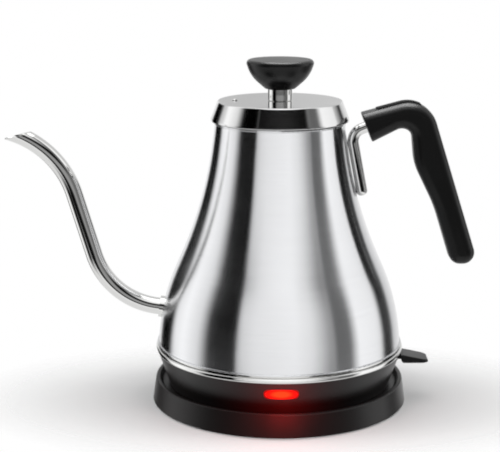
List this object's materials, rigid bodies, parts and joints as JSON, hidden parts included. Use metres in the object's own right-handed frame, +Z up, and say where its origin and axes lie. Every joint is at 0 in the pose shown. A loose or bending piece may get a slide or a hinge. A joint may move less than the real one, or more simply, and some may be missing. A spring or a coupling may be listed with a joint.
{
  "type": "electric gooseneck kettle",
  "caption": "Cordless electric pour-over kettle with a waisted steel body, gooseneck spout, lift-off lid, open side handle, rocking switch lever and round power base.",
  "frame": {"origin": "on the kettle's vertical axis, in the plane of the base's pads", "axes": "+Z up along the kettle's axis, +X from the spout to the handle and switch, lamp facing -Y"},
  "size_m": [0.2835, 0.1572, 0.2099],
  "materials": {
    "brushed_steel_body": "brushed",
    "polished_steel": "polished",
    "black_plastic": "satin",
    "knob_plastic": "satin",
    "control_plastic": "moulded",
    "black_rubber": "matte",
    "grey_silicone": "matte",
    "brass": "bright",
    "aluminium": "rolled",
    "heater_sheath": "dull",
    "fastener_steel": "plain",
    "red_lens": "clear red",
    "red_bulb": "clear red",
    "circuit_board": "plain"
  },
  "bodies": {
    "power_base": {"base_housing": "black_plastic", "base_cover": "black_plastic", "base_pads": "black_rubber", "base_screws": "fastener_steel", "base_connector": "black_plastic", "base_contacts": "brass", "cord_gland": "black_rubber"},
    "coupler": {"socket_housing": "black_plastic", "socket_pin": "brass", "socket_rings": "brass"},
    "kettle": {"body_shell": "brushed_steel_body", "spout": "polished_steel", "spout_collar": "polished_steel", "trim_ring": "polished_steel", "boiler_plate": "brushed_steel_body", "heat_spreader": "aluminium", "heating_element": "heater_sheath", "plate_studs": "fastener_steel", "foot_collar": "black_plastic", "foot_cover": "black_plastic", "foot_screws": "fastener_steel", "lamp_lens": "red_lens", "lamp_bulb": "red_bulb", "lamp_board": "circuit_board", "control_housing": "control_plastic", "bimetal_disc": "fastener_steel", "steam_tube": "brushed_steel_body", "steam_grommet": "grey_silicone", "lever_pin": "fastener_steel", "handle_rod": "polished_steel", "handle_grip": "black_plastic", "handle_screw": "fastener_steel"},
    "lid": {"lid_shell": "brushed_steel_body", "lid_skirt": "brushed_steel_body", "knob_stem": "polished_steel", "lid_knob": "knob_plastic", "knob_screw": "fastener_steel"},
    "switch": {"switch_lever": "black_plastic"}
  },
  "joints": [
    {"name": "kettle_lift", "type": "slide", "parent": "power_base", "child": "coupler", "axis": [0, 0, 1], "range_m": [0, 0.12]},
    {"name": "kettle_swivel", "type": "hinge", "parent": "coupler", "child": "kettle", "pos_m": [0, 0, 0.018], "axis": [0, 0, 1], "continuous": true},
    {"name": "lid_lift", "type": "slide", "parent": "kettle", "child": "lid", "axis": [0, 0, 1], "range_m": [0, 0.08]},
    {"name": "switch_rock", "type": "hinge", "parent": "kettle", "child": "switch", "pos_m": [0.058, 0, 0.0266], "axis": [0, -1, 0], "range_deg": [0, 7]}
  ]
}
